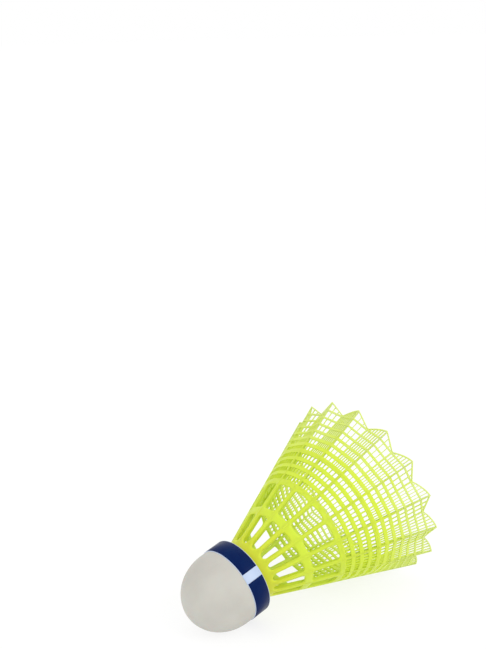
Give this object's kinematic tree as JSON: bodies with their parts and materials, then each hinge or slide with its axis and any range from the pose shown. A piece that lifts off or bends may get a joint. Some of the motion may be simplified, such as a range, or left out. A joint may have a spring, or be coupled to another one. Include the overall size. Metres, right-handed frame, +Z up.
{
  "type": "badminton shuttlecock",
  "caption": "Synthetic badminton shuttlecock: round-nosed cork base with a taped collar and a flared, pleated open-net skirt, lying on its side.",
  "frame": {"origin": "centre of the base of the bounding box, on the surface that the nose and the two lowest tips rest on", "axes": "+X horizontally from the nose towards the mouth of the skirt, +Z up; the shuttlecock's own axis lies in the XZ plane and rises 16 degrees towards +X"},
  "size_m": [0.0886, 0.066, 0.0635],
  "materials": {
    "skin": "matt off-white coated skin with a fine grain",
    "cork": "bare composition cork",
    "tape": "glossy navy tape",
    "panel": "glossy pale blue-white tape, left blank",
    "skirt": "satin lime-yellow moulded nylon"
  },
  "bodies": {
    "root": {"nose_skin": "skin", "cork_core": "cork", "collar_tape": "tape", "tape_panel": "panel", "skirt_stem": "skirt", "quill_ribs": "skirt", "ring_panels": "skirt", "net_panels": "skirt", "wing_panels": "skirt"}
  },
  "joints": []
}
